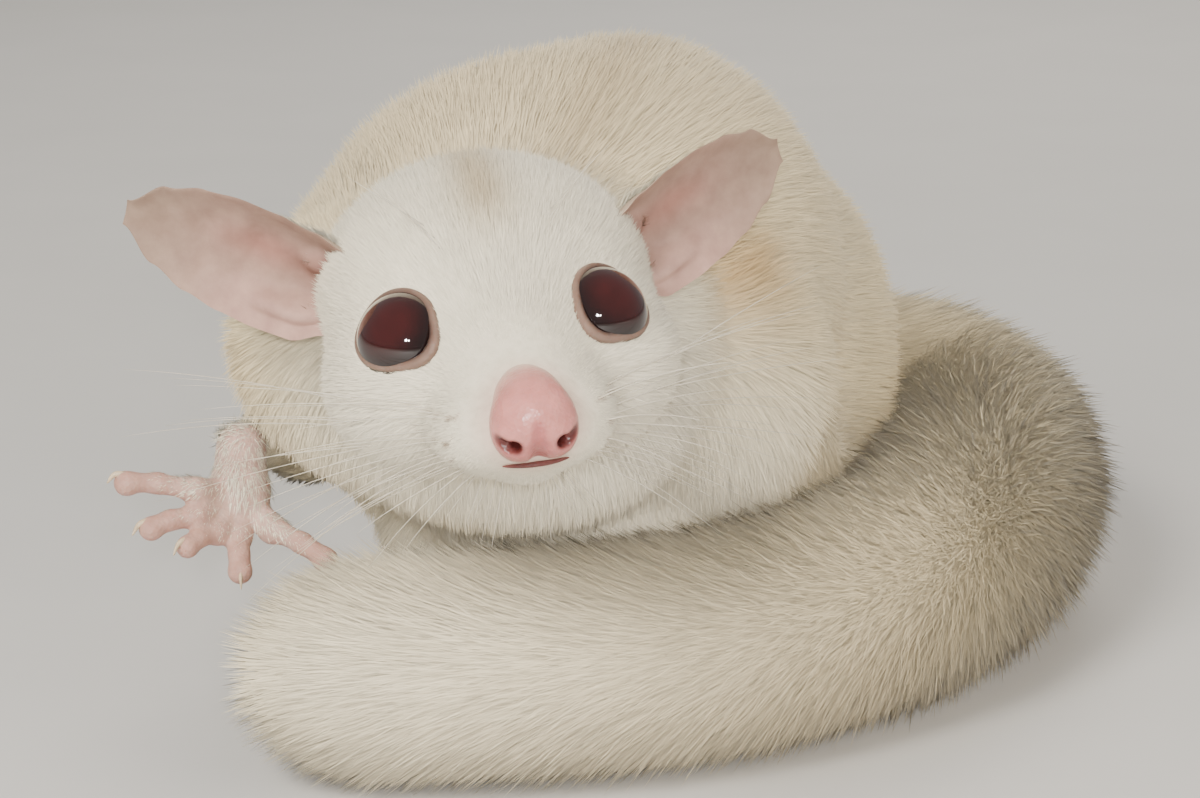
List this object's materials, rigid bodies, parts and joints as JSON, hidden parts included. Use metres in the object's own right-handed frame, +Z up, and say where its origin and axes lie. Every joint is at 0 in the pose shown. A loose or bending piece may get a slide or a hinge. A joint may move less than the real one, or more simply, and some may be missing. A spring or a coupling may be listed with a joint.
{
  "type": "sugar glider",
  "caption": "Still, life-size pale sugar glider resting on its belly, one forepaw raised and its bushy tail curled round in front.",
  "frame": {"origin": "on the floor, in the middle of the flat that the belly rests on", "axes": "+Z up, the animal faces -Y, and its left side is +X"},
  "size_m": [0.1135, 0.1353, 0.0707],
  "materials": {
    "fur_white": "matte",
    "fur_cream": "matte",
    "bare_skin": "satin",
    "nose_skin": "satin",
    "eye": "gloss"
  },
  "bodies": {
    "root": {"head": "fur_white", "nose": "nose_skin", "eye_left": "eye", "ear_left": "bare_skin", "eye_right": "eye", "ear_right": "bare_skin", "neck": "fur_white", "torso": "fur_cream", "arm_right": "fur_white", "arm_left": "fur_white", "leg_right": "fur_white", "leg_left": "fur_white", "hand_right": "bare_skin", "hand_left": "bare_skin", "foot_right": "bare_skin", "foot_left": "bare_skin", "patagium_right": "fur_white", "patagium_left": "fur_white", "tail_1": "fur_cream", "tail_2": "fur_cream", "tail_3": "fur_cream", "tail_4": "fur_cream", "tail_5": "fur_cream"}
  },
  "joints": []
}
